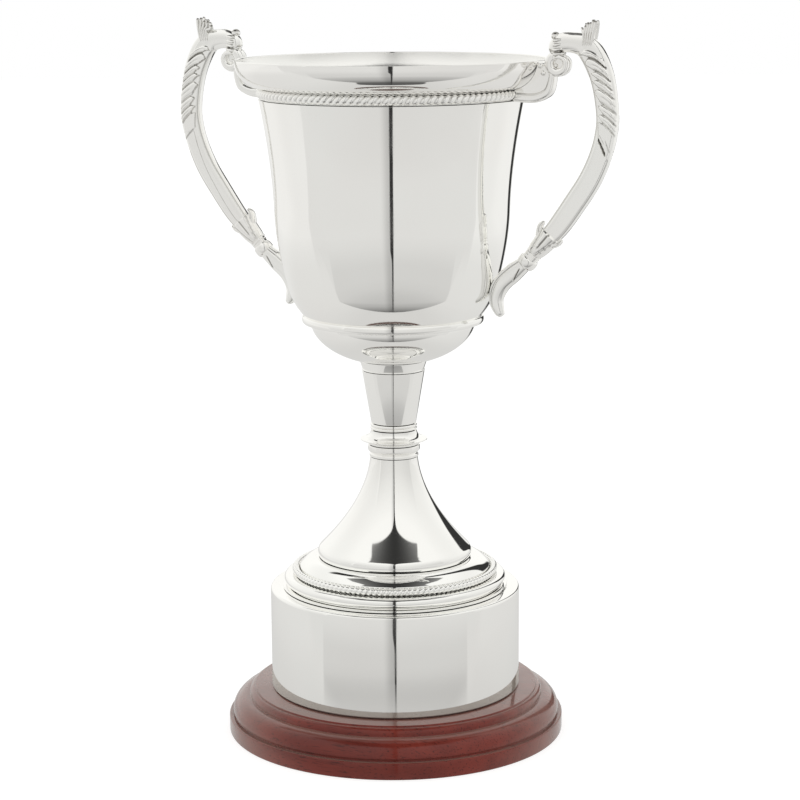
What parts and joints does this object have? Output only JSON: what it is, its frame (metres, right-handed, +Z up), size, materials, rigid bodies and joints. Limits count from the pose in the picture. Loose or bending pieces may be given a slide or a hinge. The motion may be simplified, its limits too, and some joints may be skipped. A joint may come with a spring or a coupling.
{
  "type": "cup trophy",
  "caption": "Silver-plated presentation cup with scroll handles on a trumpet foot, a bright metal drum and a turned wooden base, awarded as a prize and displayed.",
  "frame": {"origin": "middle of the wooden base's underside, where it rests on a table", "axes": "+Z up along the cup's turning axis, X through both handles, -Y towards the front"},
  "size_m": [0.2262, 0.165, 0.3481],
  "materials": {
    "silver_plate": "mirror-polished silver plate, slightly warm",
    "mahogany": "red-brown mahogany stain under a satin-gloss varnish",
    "core_wood": "plain sawn softwood",
    "baize": "short-napped green baize",
    "steel": "bright zinc-plated steel"
  },
  "bodies": {
    "root": {"wood_base": "mahogany", "baize_pad": "baize", "plinth_core": "core_wood", "plinth_drum": "silver_plate", "foot_tier": "silver_plate", "foot_rope_bead": "silver_plate", "foot_bell": "silver_plate", "stem_lower_collar": "silver_plate", "stem_knop": "silver_plate", "stem_bead_ring": "silver_plate", "stem_tube": "silver_plate", "stem_upper_collar": "silver_plate", "cup_bowl": "silver_plate", "cup_rope_bead": "silver_plate", "handle_left": "silver_plate", "handle_right": "silver_plate", "handle_screw_left_upper": "steel", "handle_screw_left_lower": "steel", "handle_screw_right_upper": "steel", "handle_screw_right_lower": "steel", "tie_rod": "steel", "bowl_washer": "steel", "bowl_nut": "steel", "base_washer": "steel", "base_nut": "steel"}
  },
  "joints": []
}
